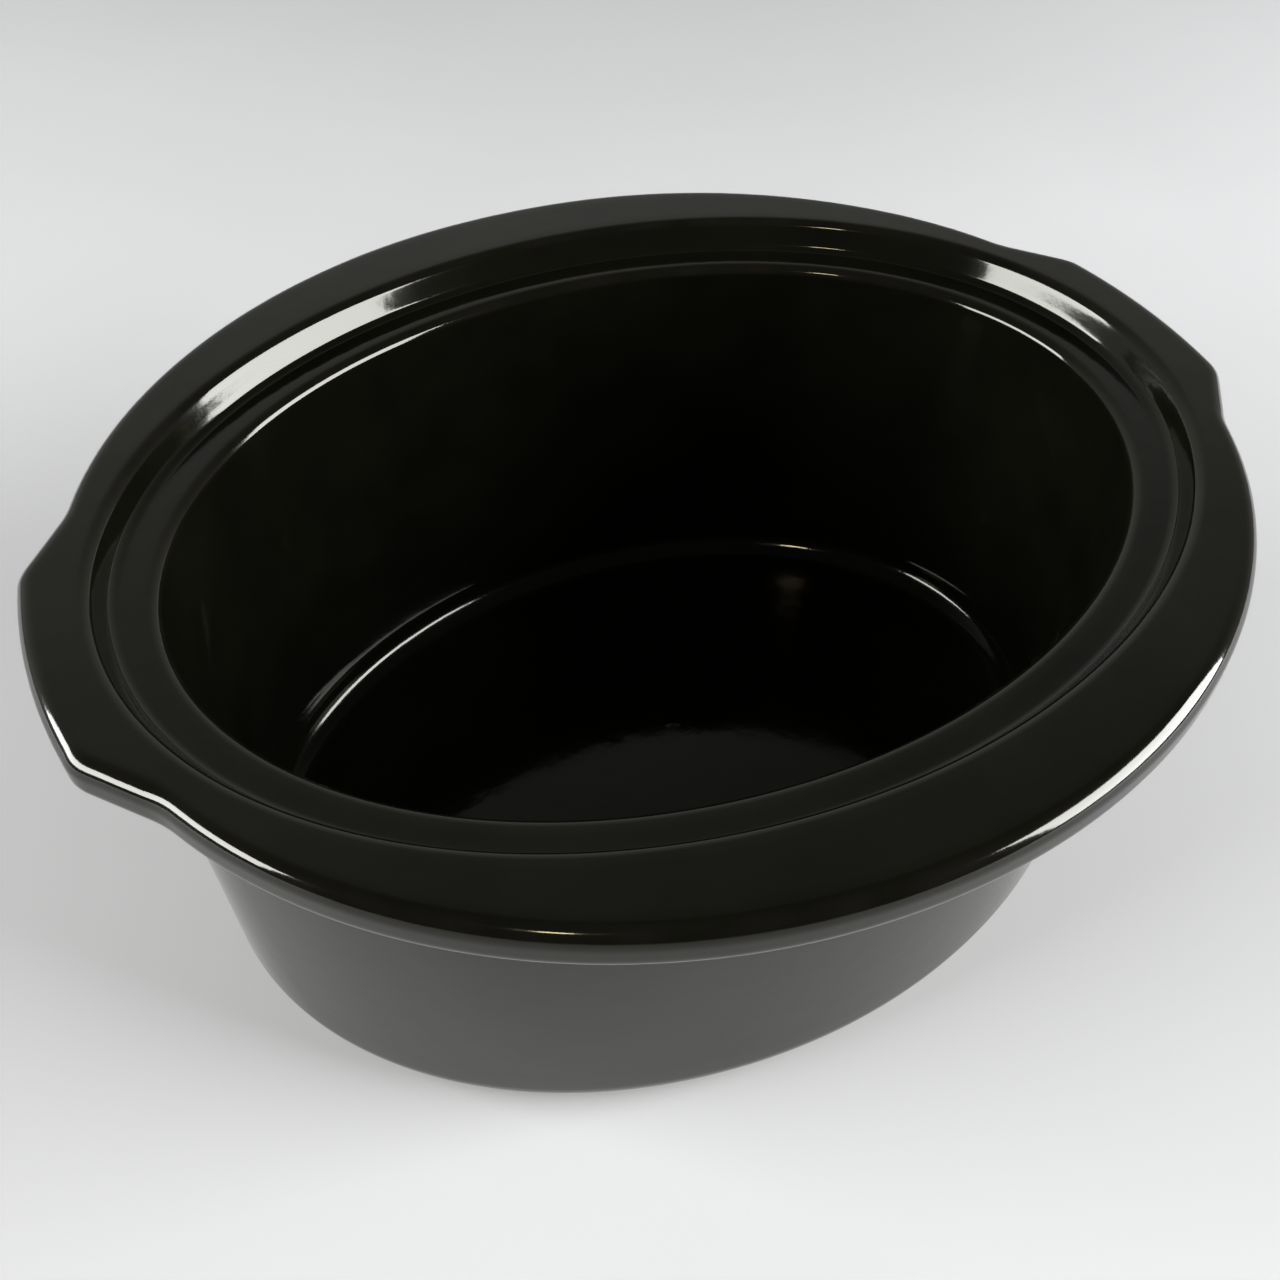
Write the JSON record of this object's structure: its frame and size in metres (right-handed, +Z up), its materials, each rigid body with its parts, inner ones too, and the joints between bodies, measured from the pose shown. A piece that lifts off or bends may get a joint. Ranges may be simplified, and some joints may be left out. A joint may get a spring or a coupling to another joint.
{
  "type": "slow cooker crock",
  "caption": "Deep oval stoneware cooking vessel with a wide flange, a stepped ledge that seats a lid, a handle lug at each end and a gloss black glaze",
  "frame": {"origin": "on the table, under the middle of the oval foot", "axes": "+X along the oval to one handle lug, +Y across the oval, +Z up out of the vessel's mouth"},
  "size_m": [0.3326, 0.2858, 0.1366],
  "materials": {
    "bare_stoneware": "matt fired clay, buff with fine dark specks, seen only on the foot",
    "black_glaze": "gloss black glass glaze, faint orange peel, thinner and browner on the sharpest edges"
  },
  "bodies": {
    "root": {"stoneware_body": "bare_stoneware", "glaze_coat": "black_glaze"}
  },
  "joints": []
}
